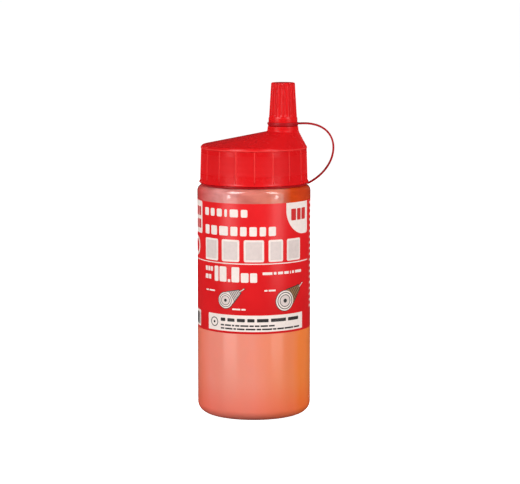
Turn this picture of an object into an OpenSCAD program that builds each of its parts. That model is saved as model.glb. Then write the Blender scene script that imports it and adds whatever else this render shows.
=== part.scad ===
// Squeeze bottle of powdered chalk: threaded bottle, screw closure with an off-centre pouring
// nozzle, and a fluted nozzle cap on a tether. Origin at the middle of the base, +Z up, mm.

/* [Bottle] */
// Outside diameter of the bottle
bottle_d = 65; // [50:0.5:90]
// Height of the shoulder that the closure stands over
shoulder_z = 132; // [90:1:180]
// Thickness of the blown wall
bottle_wall = 1.2; // [0.8:0.1:2]
// Rounding at the foot of the bottle
foot_round = 6; // [3:0.5:9]
// Rounding of the shoulder
shoulder_round = 3.5; // [2:0.5:4.5]
// Radius of the hollow pushed up under the base
push_up_r = 23; // [15:0.5:24]
// Depth of that hollow
push_up = 2; // [0.5:0.1:4]

/* [Neck and thread] */
// From the side of the bottle in to the neck
neck_inset = 5; // [4.5:0.1:8]
// Height of the neck above the shoulder
neck_h = 19; // [18:0.5:26]
// Thickness of the neck
neck_wall = 1.8; // [1.2:0.1:2.5]
// Pitch of the thread
thread_pitch = 3.5; // [3:0.1:4.5]
// Turns of thread on the neck and in the closure
thread_turns = 2.5; // [1:0.25:2.75]
// Depth of either thread
thread_depth = 1.4; // [0.8:0.1:1.8]
// Width of the thread where it leaves the wall
thread_foot = 2; // [1.4:0.1:2.2]
// Width of the thread's crest
thread_crest = 0.6; // [0.4:0.1:1]

/* [Label and contents] */
// Height of the label's lower edge
label_z = 50.4; // [20:0.1:60]
// From the label's upper edge to the shoulder
label_gap = 7.9; // [5:0.1:15]
// Thickness of the label film with its glue
label_t = 0.15; // [0.1:0.01:0.3]
// From the level of the chalk to the shoulder
chalk_gap = 14; // [8:1:40]

/* [Closure] */
// Wall of the skirt at its foot, between the ribs
skirt_foot_wall = 1.55; // [1.4:0.05:2.5]
// Wall of the skirt at its top, between the ribs
skirt_top_wall = 1; // [0.9:0.05:1.8]
// How far the lip at the foot stands out
lip_out = 0.55; // [0.3:0.05:1]
// Height of the lip
lip_h = 1.2; // [0.8:0.1:2]
// Number of grip ribs
rib_count = 18; // [8:1:36]
// How far the ribs and the ledge over them stand out
rib_out = 0.25; // [0.2:0.05:0.6]
// Width of a rib
rib_w = 0.9; // [0.5:0.1:2]
// Width of the ledge that the sealing ring sits against
seal_ledge = 3.2; // [2.5:0.1:4]
// Rise of the slanting top from the skirt to the collar
top_rise = 9; // [6:0.1:14]
// Rise of the rounded edge at the foot of the slanting top
top_edge_h = 1.4; // [0.5:0.1:2.5]
// How far that edge draws in
top_edge_in = 0.85; // [0.3:0.05:1.5]
// Thickness of the slanting top
top_wall = 1.4; // [1:0.1:2]

/* [Nozzle] */
// Radius of the collar under the nozzle
collar_r = 8.65; // [8.5:0.05:12]
// Height of the collar
collar_h = 3.1; // [2:0.1:6]
// From the collar out to the closure's edge
collar_inset = 5.2; // [3:0.1:9]
// Outside radius of the nozzle at the collar
nozzle_foot_r = 6.6; // [5.8:0.1:7]
// Outside radius of the nozzle at its tip
nozzle_tip_r = 4.2; // [4:0.1:5]
// Height of the nozzle above the collar
nozzle_h = 21; // [15:0.5:30]
// Radius of the pouring bore
bore_r = 3; // [2:0.1:3.2]
// Straight length of the bore below the tip
bore_h = 8.5; // [5:0.5:10]

/* [Nozzle cap] */
// Radius of the plain band at the foot of the cap
cap_foot_r = 8.25; // [8.2:0.05:10]
// Height of that band
cap_band_h = 2.6; // [1.5:0.1:5]
// Radius of the grip where the flutes start
cap_grip_r = 7.95; // [7.8:0.05:9]
// Radius of the cap at its top
cap_top_r = 6.75; // [6.4:0.05:7.5]
// Space over the nozzle's tip inside the cap
cap_headroom = 2; // [1:0.1:4]
// Thickness of the cap's end
cap_end = 1.6; // [1:0.1:3]
// Number of flutes
flute_count = 16; // [8:1:20]
// Radius of a flute
flute_r = 0.9; // [0.5:0.1:1.2]
// Depth of a flute
flute_depth = 0.45; // [0.2:0.05:0.8]
// Length of the land inside the cap that grips the nozzle's tip
land_h = 4; // [2:0.5:6]
// How far the cap pulls up to leave the nozzle
cap_travel = 21; // [15:0.5:30]

/* [Tether] */
// Thickness of the tether's rings where they show
ring_t = 1.2; // [0.8:0.1:2]
// How far the large ring stands in from the skirt's foot
neck_ring_in = 0.45; // [0.2:0.05:0.6]
// Height of the small ring
cap_ring_h = 1.7; // [1.2:0.1:3]
// How far the small ring's upper flange stands out past the collar
cap_ring_out = 0.3; // [0.1:0.05:1]
// Width of the strap
strap_w = 2.4; // [1.5:0.1:4]
// Thickness of the strap
strap_t = 1.1; // [0.5:0.1:1.2]
// Length of the root pad between a ring and the strap
pad_l = 1.1; // [0.8:0.1:3]

/* [Fits] */
// Gap between faces that turn or slide on each other
face_gap = 0.05; // [0.02:0.01:0.1]
// Radial gap of the cap on the nozzle
cap_gap = 0.08; // [0.03:0.01:0.15]
// Radial gap of a ring snapped on its seat
snap_gap = 0.05; // [0.02:0.01:0.1]
// Radial play between the two threads
thread_play = 0.3; // [0.2:0.05:0.5]

/* [Hidden] */
$fn = 96;

body_red = [0.88, 0.09, 0.09];
ring_red = [0.80, 0.07, 0.07];

// Bottle and neck
bottle_r = bottle_d / 2;
panel_r = bottle_r - label_t;
label_h = shoulder_z - label_gap - label_z;
chalk_z = shoulder_z - chalk_gap;
neck_r = bottle_r - neck_inset;
mouth_r = neck_r - neck_wall;
mouth_z = shoulder_z + neck_h;
thread_crest_r = neck_r + thread_depth;

// Closure, from its foot up
skirt_in_r = thread_crest_r + thread_play;
skirt_z = shoulder_z + ring_t + 2 * face_gap;
skirt_foot_r = skirt_in_r + skirt_foot_wall;
skirt_top_r = skirt_in_r + skirt_top_wall;
gasket_t = 1.2;
ceiling_z = mouth_z + gasket_t + 2 * face_gap;
top_plate = 1;
skirt_top_z = ceiling_z + top_plate;
ledge_r = skirt_top_r + rib_out;
ledge_h = 0.4;
dome_in_r = skirt_in_r - seal_ledge;

// Both threads run at one phase, half a pitch apart, so they never meet
thread_rise = 0.36;
thread_z = shoulder_z + thread_rise * neck_h;
thread_lead_in = 30;
step_angle = 7.5;

// Nozzle and cap
nozzle_x = ledge_r - collar_inset - collar_r;
collar_z = skirt_top_z + top_rise;
nozzle_z = collar_z + collar_h;
tip_z = nozzle_z + nozzle_h;
funnel_r = nozzle_foot_r - 0.4;
cap_lift = 0.15;
cap_z = nozzle_z + cap_lift;
cap_ring_z = cap_z + face_gap;
cap_ring_r = collar_r + cap_ring_out;
cap_band_z = cap_ring_z + cap_ring_h + face_gap;
cap_grip_z = cap_band_z + cap_band_h;
cap_in_z = tip_z + cap_headroom;
cap_top_z = cap_in_z + cap_end;
spigot_wall = 0.9;
spigot_r = nozzle_foot_r + cap_gap + spigot_wall;
land_z = tip_z - land_h;
relief = 0.7;

// Snap beads of the two rings
bead = 0.2;
bead_h = 0.6;
clip_r = skirt_in_r + 0.6;
clip_h = 2.2;
neck_ring_r = skirt_foot_r - neck_ring_in;
neck_ring_z = shoulder_z + face_gap;

// The strap springs out sideways at both ends: one cubic curve with two handles, [out, up]
strap_low = [neck_ring_r + pad_l, neck_ring_z + ring_t / 2];
strap_high = [nozzle_x + cap_ring_r + pad_l + face_gap, cap_band_z - face_gap - ring_t / 2];
low_handle = [19.5, 10];
high_handle = [24.5, 1.5];
strap_steps = 28;

// Outside radius of the nozzle at height z
function nozzle_r(z) =
    nozzle_foot_r + (nozzle_tip_r - nozzle_foot_r) * max(0, z - nozzle_z) / nozzle_h;

// Points of an arc about c, from angle a to angle b
function arc(c, r, a, b, n = 8) =
    [for (i = [0:n]) c + r * [cos(a + (b - a) * i / n), sin(a + (b - a) * i / n)]];

// Point and heading of the strap's curve at t
function strap_point(t) =
    pow(1 - t, 3) * strap_low
    + 3 * t * pow(1 - t, 2) * (strap_low + low_handle)
    + 3 * t * t * (1 - t) * (strap_high + high_handle)
    + pow(t, 3) * strap_high;
function strap_heading(t) =
    t == 0 ? [1, 0] : t == 1 ? [-1, 0] : let (d = strap_point(t + 0.01) - strap_point(t - 0.01)) d / norm(d);

// A closed skin over rings of the same number of points
module skin(rings) {
    n = len(rings[0]);
    last = len(rings) - 1;
    polyhedron(
        points = [for (ring = rings) each ring],
        faces = concat(
            [[for (i = [n - 1:-1:0]) i]],
            [for (k = [0:last - 1]) for (i = [0:n - 1]) each [
                [k * n + i, (k + 1) * n + (i + 1) % n, (k + 1) * n + i],
                [k * n + i, k * n + (i + 1) % n, (k + 1) * n + (i + 1) % n]
            ]],
            [[for (i = [0:n - 1]) last * n + i]]
        )
    );
}

// A helical ridge that leaves the wall at wall_r and stands out by depth, or inwards when that
// is negative; both ends run out over the lead-in, and the foot is sunk in the wall
module thread(wall_r, depth, z) {
    sunk = 0.25 * sign(depth);
    turn = 360 * thread_turns;
    skin([
        for (a = [0:step_angle:turn])
            let (
                full = min(1, 0.2 + a / thread_lead_in, 0.2 + (turn - a) / thread_lead_in),
                c = z + thread_pitch * a / 360,
                foot = thread_foot / 2,
                crest = foot + (thread_crest / 2 - foot) * full,
                low_r = wall_r - sunk,
                high_r = wall_r + depth * full,
                ridge = [[low_r, c - foot], [high_r, c - crest], [high_r, c + crest], [low_r, c + foot]]
            )
            [for (p = depth > 0 ? ridge : [for (i = [3:-1:0]) ridge[i]]) [p[0] * cos(a), p[0] * sin(a), p[1]]]
    ]);
}

module bottle() {
    in_foot = foot_round - bottle_wall;
    foot_r = bottle_r - foot_round;
    in_top = shoulder_round - bottle_wall;
    top_r = bottle_r - shoulder_round;
    lip = 0.5;
    color([0.94, 0.62, 0.52]) {
        difference() {
            rotate_extrude() polygon(concat(
                [[0, push_up], [push_up_r - push_up, push_up], [push_up_r, 0]],
                arc([foot_r, foot_round], foot_round, -90, 0),
                [[bottle_r, label_z], [panel_r, label_z], [panel_r, label_z + label_h]],
                [[bottle_r, label_z + label_h]],
                arc([top_r, shoulder_z - shoulder_round], shoulder_round, 0, 90),
                [[neck_r, shoulder_z], [neck_r, mouth_z - lip], [neck_r - lip, mouth_z], [0, mouth_z]]
            ));
            rotate_extrude() polygon(concat(
                [[0, push_up + bottle_wall], [push_up_r - push_up, push_up + bottle_wall]],
                arc([foot_r, foot_round], in_foot, -90, 0),
                [[panel_r - bottle_wall, foot_round + 1]],
                [[panel_r - bottle_wall, shoulder_z - shoulder_round - 1]],
                arc([top_r, shoulder_z - shoulder_round], in_top, 0, 90),
                [[mouth_r, shoulder_z - bottle_wall - (top_r - mouth_r) / 4]],
                [[mouth_r, mouth_z + 1], [0, mouth_z + 1]]
            ));
        }
        thread(neck_r, thread_depth, thread_z);
    }
}

module chalk_fill() {
    gap = 0.02;
    in_foot = foot_round - bottle_wall - gap;
    floor_z = push_up + bottle_wall + gap;
    color([0.95, 0.42, 0.36])
        rotate_extrude() polygon(concat(
            [[0, floor_z], [push_up_r - push_up, floor_z]],
            arc([bottle_r - foot_round, foot_round], in_foot, -90, 0),
            [[panel_r - bottle_wall - gap, foot_round + 1], [panel_r - bottle_wall - gap, chalk_z - 1]],
            [[panel_r - bottle_wall - 2, chalk_z], [0, chalk_z]]
        ));
}

module label() {
    gap = 0.01;
    color(body_red)
        translate([0, 0, label_z + gap])
            difference() {
                cylinder(r = bottle_r, h = label_h - 2 * gap);
                translate([0, 0, -1]) cylinder(r = panel_r + gap, h = label_h + 2);
            }
}

module neck_gasket() {
    color("whitesmoke")
        translate([0, 0, mouth_z + face_gap])
            difference() {
                cylinder(r = skirt_in_r - 4 * face_gap, h = gasket_t);
                translate([0, 0, -1]) cylinder(r = mouth_r, h = gasket_t + 2);
            }
}

// The slanting top: a round foot drawn up to the off-centre collar, shrunk inwards by wall
module slanting_top(foot_r, foot_z, wall) {
    sheet = 0.01;
    fillet = 0.4;
    edge_r = foot_r - top_edge_in;
    hull() {
        translate([0, 0, foot_z]) cylinder(r = foot_r, h = sheet, $fn = 64);
        translate([0, 0, foot_z + top_edge_h - sheet]) cylinder(r = edge_r, h = sheet, $fn = 64);
        translate([nozzle_x, 0, collar_z - wall - fillet])
            cylinder(r = collar_r + fillet - wall, h = fillet, $fn = 48);
    }
}

module closure() {
    color(body_red) {
        difference() {
            union() {
                rotate_extrude() polygon([
                    [0, skirt_z + 1], [skirt_foot_r - 1, skirt_z],
                    [skirt_foot_r + lip_out, skirt_z], [skirt_foot_r + lip_out, skirt_z + lip_h / 2],
                    [skirt_foot_r, skirt_z + lip_h], [skirt_top_r, skirt_top_z - ledge_h - rib_out],
                    [ledge_r, skirt_top_z - ledge_h], [ledge_r, skirt_top_z], [0, skirt_top_z]
                ]);
                grip_ribs();
                slanting_top(ledge_r, skirt_top_z, 0);
                translate([nozzle_x, 0, collar_z - 2]) cylinder(r = collar_r, h = collar_h + 2);
                translate([nozzle_x, 0, nozzle_z - 1]) nozzle_outside();
            }
            translate([0, 0, skirt_z - 1]) cylinder(r = skirt_in_r, h = ceiling_z - skirt_z + 1);
            translate([0, 0, skirt_z - 1]) cylinder(r = clip_r + snap_gap, h = clip_h + 1 + face_gap);
            translate([0, 0, skirt_z + clip_h - bead_h - face_gap])
                cylinder(r = clip_r + bead + snap_gap, h = bead_h + 2 * face_gap);
            slanting_top(dome_in_r, ceiling_z - 0.01, top_wall);
            nozzle_inside();
        }
        thread(skirt_in_r, -thread_depth, thread_z + thread_pitch / 2);
    }
}

module grip_ribs() {
    low = skirt_z + lip_h;
    tilt = atan((skirt_foot_wall - skirt_top_wall) / (skirt_top_z - low));
    for (i = [0:rib_count - 1])
        rotate([0, 0, (i + 0.5) * 360 / rib_count])
            translate([skirt_foot_r, 0, low])
                rotate([0, -tilt, 0])
                    translate([-1, -rib_w / 2, 0]) cube([1 + rib_out, rib_w, skirt_top_z - low - ledge_h]);
}

module nozzle_outside() {
    round = 0.5;
    rotate_extrude() polygon([
        [0, 0], [nozzle_foot_r, 0], [nozzle_foot_r, 1],
        [nozzle_tip_r, nozzle_h + 1 - round], [nozzle_tip_r - round, nozzle_h + 1], [0, nozzle_h + 1]
    ]);
}

// The powder's way out: a funnel up from the hollow top, then the straight bore
module nozzle_inside() {
    funnel_z = collar_z - top_wall - 0.5;
    funnel_top = tip_z - bore_h;
    translate([nozzle_x, 0, 0]) {
        translate([0, 0, funnel_z])
            cylinder(r1 = funnel_r, r2 = bore_r, h = funnel_top - funnel_z);
        translate([0, 0, funnel_top - 1]) cylinder(r = bore_r, h = bore_h + 2);
    }
}

module nozzle_cap() {
    edge = 0.7;
    color(body_red)
        translate([nozzle_x, 0, 0])
            difference() {
                rotate_extrude() polygon(concat(
                    [[nozzle_foot_r + cap_gap, cap_z], [spigot_r, cap_z]],
                    snap_bead(spigot_r, cap_ring_z + cap_ring_h / 2),
                    [[spigot_r, cap_band_z], [cap_foot_r, cap_band_z], [cap_foot_r, cap_grip_z]],
                    [[cap_grip_r, cap_grip_z + 0.6]],
                    arc([cap_top_r - edge, cap_top_z - edge], edge, 0, 90, 5),
                    [[0, cap_top_z], [0, cap_in_z], [nozzle_tip_r - relief, cap_in_z]],
                    [for (z = [tip_z, land_z]) [nozzle_r(z) + cap_gap, z]],
                    [for (z = [land_z - 1, cap_grip_z]) [nozzle_r(z) + relief, z]],
                    [[nozzle_r(cap_band_z) + cap_gap, cap_band_z]]
                ));
                flutes();
            }
}

// A half-round bead on a spigot of radius r, as profile points going up
function snap_bead(r, z) = [[r, z - bead_h / 2], [r + bead, z - bead_h / 6], [r + bead, z + bead_h / 6], [r, z + bead_h / 2]];

module flutes() {
    low = cap_grip_z + 1.2;
    tilt = atan((cap_grip_r - cap_top_r) / (cap_top_z - cap_grip_z));
    for (i = [0:flute_count - 1])
        rotate([0, 0, (i + 0.5) * 360 / flute_count])
            translate([cap_grip_r + flute_r - flute_depth, 0, low])
                rotate([0, -tilt, 0]) {
                    cylinder(r = flute_r, h = cap_top_z - low + 2);
                    sphere(r = flute_r);
                }
}

module tether_cap_ring() {
    seat_r = spigot_r + snap_gap;
    flange = cap_ring_h - ring_t * 0.8;
    mid = cap_ring_h / 2;
    color(ring_red)
        translate([nozzle_x, 0, cap_ring_z]) {
            rotate_extrude() polygon(concat(
                [[collar_r, 0], [collar_r, flange], [cap_ring_r, flange]],
                [[cap_ring_r, cap_ring_h], [seat_r, cap_ring_h]],
                [for (p = [3:-1:0]) snap_bead(seat_r, mid)[p]],
                [[seat_r, 0]]
            ));
            translate([cap_ring_r - 0.5, -strap_w / 2, cap_ring_h - ring_t / 2 - strap_t / 2])
                cube([pad_l + 0.5, strap_w, strap_t]);
        }
}

module tether_neck_ring() {
    pad_z = (ring_t - strap_t) / 2;
    color(ring_red)
        translate([0, 0, neck_ring_z]) {
            rotate_extrude() polygon(concat(
                [[skirt_in_r - 0.05, 0], [neck_ring_r, 0], [neck_ring_r, ring_t], [clip_r, ring_t]],
                snap_bead(clip_r, ring_t + face_gap + clip_h - bead_h / 2),
                [[clip_r, ring_t + clip_h], [skirt_in_r - 0.05, ring_t + clip_h]]
            ));
            translate([neck_ring_r - 0.5, -strap_w / 2, pad_z]) cube([pad_l + 0.5, strap_w, strap_t]);
        }
}

module tether_strap() {
    color(ring_red)
        skin([
            for (i = [0:strap_steps])
                let (
                    p = strap_point(i / strap_steps),
                    d = strap_heading(i / strap_steps),
                    side = [-d[1], d[0]] * strap_t / 2,
                    w = strap_w / 2
                )
                [for (c = [[1, -1], [1, 1], [-1, 1], [-1, -1]])
                    [p[0] + side[0] * c[0], w * c[1], p[1] + side[1] * c[0]]]
        ]);
}

bottle();
chalk_fill();
label();
neck_gasket();
closure();
nozzle_cap();
tether_cap_ring();
tether_strap();
tether_neck_ring();
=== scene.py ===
import math

import bmesh
import bpy
from mathutils import Matrix, Vector


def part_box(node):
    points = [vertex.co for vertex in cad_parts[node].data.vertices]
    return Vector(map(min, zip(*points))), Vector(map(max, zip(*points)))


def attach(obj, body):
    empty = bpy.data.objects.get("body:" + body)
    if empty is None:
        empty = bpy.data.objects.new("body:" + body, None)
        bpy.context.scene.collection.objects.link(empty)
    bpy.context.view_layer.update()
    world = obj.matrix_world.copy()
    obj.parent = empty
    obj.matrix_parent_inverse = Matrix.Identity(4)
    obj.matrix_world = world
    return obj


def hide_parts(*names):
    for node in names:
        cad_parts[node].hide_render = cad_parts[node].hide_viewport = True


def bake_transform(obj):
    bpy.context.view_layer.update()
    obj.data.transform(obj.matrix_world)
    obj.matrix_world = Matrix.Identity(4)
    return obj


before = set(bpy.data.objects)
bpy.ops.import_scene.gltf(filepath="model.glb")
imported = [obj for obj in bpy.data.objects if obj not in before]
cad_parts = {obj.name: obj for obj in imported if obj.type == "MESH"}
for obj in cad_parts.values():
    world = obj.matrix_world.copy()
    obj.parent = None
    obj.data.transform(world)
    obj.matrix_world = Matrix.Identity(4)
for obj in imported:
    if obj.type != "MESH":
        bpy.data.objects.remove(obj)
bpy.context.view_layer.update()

MM = 0.001


# Camera: a long lens a little above the label, level across the bottle, so that its sides stay
# nearly upright and its shoulder and base show as shallow curves.
camera_aim = Vector((3.5, 0, 98.4)) * MM
camera_back = 1128 * MM
camera_rise = math.radians(7.68)

lens = bpy.data.cameras.new("camera")
lens.lens = 135.8
lens.sensor_width = 36
lens.clip_start = 0.05
lens.clip_end = 100
camera = bpy.data.objects.new("camera", lens)
bpy.context.collection.objects.link(camera)
back = Vector((0, -math.cos(camera_rise), math.sin(camera_rise)))
camera.location = camera_aim + back * camera_back
camera.rotation_mode = "QUATERNION"
camera.rotation_quaternion = (-back).to_track_quat("-Z", "Y")
bpy.context.scene.camera = camera


# Studio: a pale floor that runs out of sight under a white surround, which is dim on the bottle
# itself so that the reds stay deep. Four large lights fill it evenly all round, two tall soft
# boxes draw the faint broad highlights down the bottle, and two lights above them and two small
# ones between give the glints.
world = bpy.data.worlds.new("studio")
bpy.context.scene.world = world
world.use_nodes = True
surround = world.node_tree
background = surround.nodes["Background"]
background.inputs["Color"].default_value = (1, 1, 1, 1)
seen_by = surround.nodes.new("ShaderNodeLightPath")
on_matt = 0.22  # strength of the surround where it lights a matt surface
in_gloss = 0.04  # and where it is mirrored
lit = surround.nodes.new("ShaderNodeMapRange")
lit.inputs["To Min"].default_value = on_matt
lit.inputs["To Max"].default_value = in_gloss
brightness = surround.nodes.new("ShaderNodeMapRange")
brightness.inputs["To Max"].default_value = 1.0
surround.links.new(seen_by.outputs["Is Glossy Ray"], lit.inputs["Value"])
surround.links.new(lit.outputs["Result"], brightness.inputs["To Min"])
surround.links.new(seen_by.outputs["Is Camera Ray"], brightness.inputs["Value"])
surround.links.new(brightness.outputs["Result"], background.inputs["Strength"])
bpy.context.scene.view_settings.view_transform = "Standard"

floor_radius = 40
floor_glow = 0.82
bm = bmesh.new()
bmesh.ops.create_circle(bm, cap_ends=True, segments=96, radius=floor_radius)
floor_mesh = bpy.data.meshes.new("floor")
bm.to_mesh(floor_mesh)
bm.free()
floor = bpy.data.objects.new("floor", floor_mesh)
bpy.context.collection.objects.link(floor)
floor.visible_glossy = False
floor.visible_diffuse = False
floor_paper = bpy.data.materials.new("pale_paper")
floor_paper.use_nodes = True
paper = floor_paper.node_tree.nodes["Principled BSDF"]
paper.inputs["Base Color"].default_value = (0.9, 0.9, 0.9, 1)
paper.inputs["Roughness"].default_value = 0.9
paper.inputs["Specular IOR Level"].default_value = 0.0
paper.inputs["Emission Color"].default_value = (1, 1, 1, 1)
paper.inputs["Emission Strength"].default_value = floor_glow
floor_mesh.materials.append(floor_paper)


light_away = 1150


def soft_light(name, azimuth, rise, width, tall, watts, fills=True, glints=True):
    """An area light that faces the bottle; azimuth from the front and rise are in degrees."""
    light = bpy.data.lights.new(name, "AREA")
    light.shape = "RECTANGLE"
    light.size = width * MM
    light.size_y = tall * MM
    light.energy = watts
    light.color = (1.0, 0.99, 0.98)
    lamp = bpy.data.objects.new(name, light)
    bpy.context.collection.objects.link(lamp)
    lamp.visible_diffuse = fills
    lamp.visible_glossy = glints
    turn, lift = math.radians(azimuth), math.radians(rise)
    level = math.cos(lift)
    away = Vector((math.sin(turn) * level, -math.cos(turn) * level, math.sin(lift)))
    lamp.location = Vector((0, 0, camera_aim.z)) + away * light_away * MM
    lamp.rotation_mode = "QUATERNION"
    lamp.rotation_quaternion = (-away).to_track_quat("-Z", "Y")


soft_light("left_fill", -54, 22, 500, 500, 8.6, glints=False)
soft_light("right_fill", 54, 24, 500, 500, 9.0, glints=False)
soft_light("rear_left_fill", -150, 16, 500, 500, 6.5, glints=False)
soft_light("rear_right_fill", 150, 16, 500, 500, 6.5, glints=False)
soft_light("left_box", -49, 3, 620, 800, 3.6)
soft_light("right_box", 48, 3, 560, 800, 2.9)
soft_light("left_top", -47, 46, 460, 620, 12.0, fills=False)
soft_light("right_top", 46, 46, 360, 620, 7.5, fills=False)
soft_light("left_strip", -51, 1, 120, 120, 0.6, fills=False)
soft_light("right_strip", 46, 1, 120, 120, 0.5, fills=False)


# Bottle: extrusion blow-moulded in natural polyethylene. The mould leaves a parting line up its
# front and back and a pinched seam under the base; the neck and its thread are moulded, and the
# wall stands back by a film's thickness where the label goes.
bottle_low, bottle_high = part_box("bottle")
label_low, label_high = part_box("label")
bottle_r = bottle_high.x / MM
mouth_z = bottle_high.z / MM
label_z0 = label_low.z / MM
label_z1 = label_high.z / MM
wall = 1.2
label_film = 0.15
shoulder_z = 132
neck_r = bottle_r - 5
neck_in_r = neck_r - 1.8
foot_round = 6
shoulder_round = 3.5
push_up = 2
push_up_in_r, push_up_r = 21, 23
turn_steps = 160
sharp_angle = math.radians(38)


def turned(outline, steps=turn_steps):
    """Spins an outline of (radius, height) points, in mm, into a closed solid about the axis."""
    bm = bmesh.new()
    points = [bm.verts.new((r * MM, 0, z * MM)) for r, z in outline]
    lines = [bm.edges.new(pair) for pair in zip(points, points[1:])]
    bmesh.ops.spin(
        bm, geom=points + lines, cent=(0, 0, 0), axis=(0, 0, 1), angle=2 * math.pi,
        steps=steps, use_merge=True,
    )
    bmesh.ops.remove_doubles(bm, verts=bm.verts, dist=1e-7)
    bmesh.ops.recalc_face_normals(bm, faces=bm.faces)
    return bm


def bevelled(bm, geom, width, segments, affect="EDGES"):
    """Rounds edges, or the corners of a flat face, to a width in mm."""
    bmesh.ops.bevel(
        bm, geom=geom, offset=width * MM, affect=affect, segments=segments,
        profile=0.5, material=-1,
    )


def round_ring(bm, r, z, width, segments=3):
    """Rounds the circular edge at radius r and height z, in mm."""
    near = 0.004

    def on_ring(v):
        return abs(v.co.xy.length / MM - r) < near and abs(v.co.z / MM - z) < near

    bevelled(bm, [e for e in bm.edges if all(map(on_ring, e.verts))], width, segments)


def edges_of(verts):
    """Every edge at these vertices, once, in their order."""
    return list(dict.fromkeys(e for v in verts for e in v.link_edges))


def add_bar(bm, size, centre, edge, segments):
    """Adds a box of that size about that centre, with its edges rounded, all in mm."""
    made = bmesh.ops.create_cube(bm, size=MM)["verts"]
    bmesh.ops.scale(bm, vec=size, verts=made)
    bmesh.ops.translate(bm, vec=Vector(centre) * MM, verts=made)
    bevelled(bm, edges_of(made), edge, segments)


def finish_piece(name, bm, body, material, slot, *stands_for):
    """Makes the bmesh a smooth-shaded object that rides on a body and stands for CAD nodes."""
    mesh = bpy.data.meshes.new(name)
    bm.to_mesh(mesh)
    bm.free()
    mesh.shade_smooth()
    mesh.set_sharp_from_angle(angle=sharp_angle)
    mesh.materials.append(material)
    piece = bpy.data.objects.new(name, mesh)
    bpy.context.collection.objects.link(piece)
    if body:
        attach(piece, body)
    if stands_for:
        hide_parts(*stands_for)
    return piece


def new_material(name, roughness, ior=1.5):
    """A new material with its node tree and its shader."""
    material = bpy.data.materials.new(name)
    material.use_nodes = True
    shader = material.node_tree.nodes["Principled BSDF"]
    shader.inputs["Roughness"].default_value = roughness
    shader.inputs["IOR"].default_value = ior
    return material, material.node_tree, shader


def object_place(tree):
    """Where a point is on its object, in metres: the whole vector, then x, y and z."""
    where = tree.nodes.new("ShaderNodeTexCoord").outputs["Object"]
    parts = tree.nodes.new("ShaderNodeSeparateXYZ")
    tree.links.new(where, parts.inputs["Vector"])
    return where, parts.outputs["X"], parts.outputs["Y"], parts.outputs["Z"]


def maths(tree, operation, *values):
    """The result of a maths node over sockets and plain numbers."""
    node = tree.nodes.new("ShaderNodeMath")
    node.operation = operation
    for socket, value in zip(node.inputs, values):
        if isinstance(value, (int, float)):
            socket.default_value = value
        else:
            tree.links.new(value, socket)
    return node.outputs["Value"]


def noise_on(tree, scale, detail=3, stretch=(1, 1, 1)):
    """A noise texture on object coordinates; scale counts features to a metre."""
    where = tree.nodes.new("ShaderNodeTexCoord")
    mapping = tree.nodes.new("ShaderNodeMapping")
    mapping.inputs["Scale"].default_value = stretch
    noise = tree.nodes.new("ShaderNodeTexNoise")
    noise.inputs["Scale"].default_value = scale
    noise.inputs["Detail"].default_value = detail
    tree.links.new(where.outputs["Object"], mapping.inputs["Vector"])
    tree.links.new(mapping.outputs["Vector"], noise.inputs["Vector"])
    return noise.outputs["Fac"]


def colours_by(tree, value, stops):
    """A colour ramp over value; stops are (position, colour)."""
    ramp = tree.nodes.new("ShaderNodeValToRGB")
    ramp.color_ramp.elements[0].position = stops[0][0]
    ramp.color_ramp.elements[0].color = (*stops[0][1], 1)
    ramp.color_ramp.elements[1].position = stops[-1][0]
    ramp.color_ramp.elements[1].color = (*stops[-1][1], 1)
    for position, colour in stops[1:-1]:
        ramp.color_ramp.elements.new(position).color = (*colour, 1)
    tree.links.new(value, ramp.inputs["Fac"])
    return ramp.outputs["Color"]


def bump_from(tree, shader, height, depth, strength=0.6):
    """Gives the shader a bump of that depth, in mm."""
    bump = tree.nodes.new("ShaderNodeBump")
    bump.inputs["Strength"].default_value = strength
    bump.inputs["Distance"].default_value = depth * MM
    tree.links.new(height, bump.inputs["Height"])
    tree.links.new(bump.outputs["Normal"], shader.inputs["Normal"])


def range_of(tree, value, low, high):
    """Maps a value from 0..1 to low..high."""
    mapped = tree.nodes.new("ShaderNodeMapRange")
    mapped.inputs["To Min"].default_value = low
    mapped.inputs["To Max"].default_value = high
    tree.links.new(value, mapped.inputs["Value"])
    return mapped.outputs["Result"]


def place_across(tree):
    """Where a point is from the left side to the right, 0 to 1, and its height in metres."""
    _, x, _, z = object_place(tree)
    side = tree.nodes.new("ShaderNodeMapRange")
    side.inputs["From Min"].default_value = -bottle_r * MM
    side.inputs["From Max"].default_value = bottle_r * MM
    tree.links.new(x, side.inputs["Value"])
    return side.outputs["Result"], z


def step_between(tree, value, start, end):
    """Goes smoothly from 0 to 1 as a value in metres goes from start to end."""
    step = tree.nodes.new("ShaderNodeMapRange")
    step.interpolation_type = "SMOOTHSTEP"
    step.inputs["From Min"].default_value = start
    step.inputs["From Max"].default_value = end
    tree.links.new(value, step.inputs["Value"])
    return step.outputs["Result"]


def mixed(tree, first, second, share, way="MIX"):
    """Mixes two colours by a share, or wholly where there is none."""
    mix = tree.nodes.new("ShaderNodeMix")
    mix.data_type = "RGBA"
    mix.blend_type = way
    mix.inputs["Factor"].default_value = 1.0
    tree.links.new(first, mix.inputs["A"])
    tree.links.new(second, mix.inputs["B"])
    if share is not None:
        tree.links.new(share, mix.inputs["Factor"])
    return mix.outputs["Result"]


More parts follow.
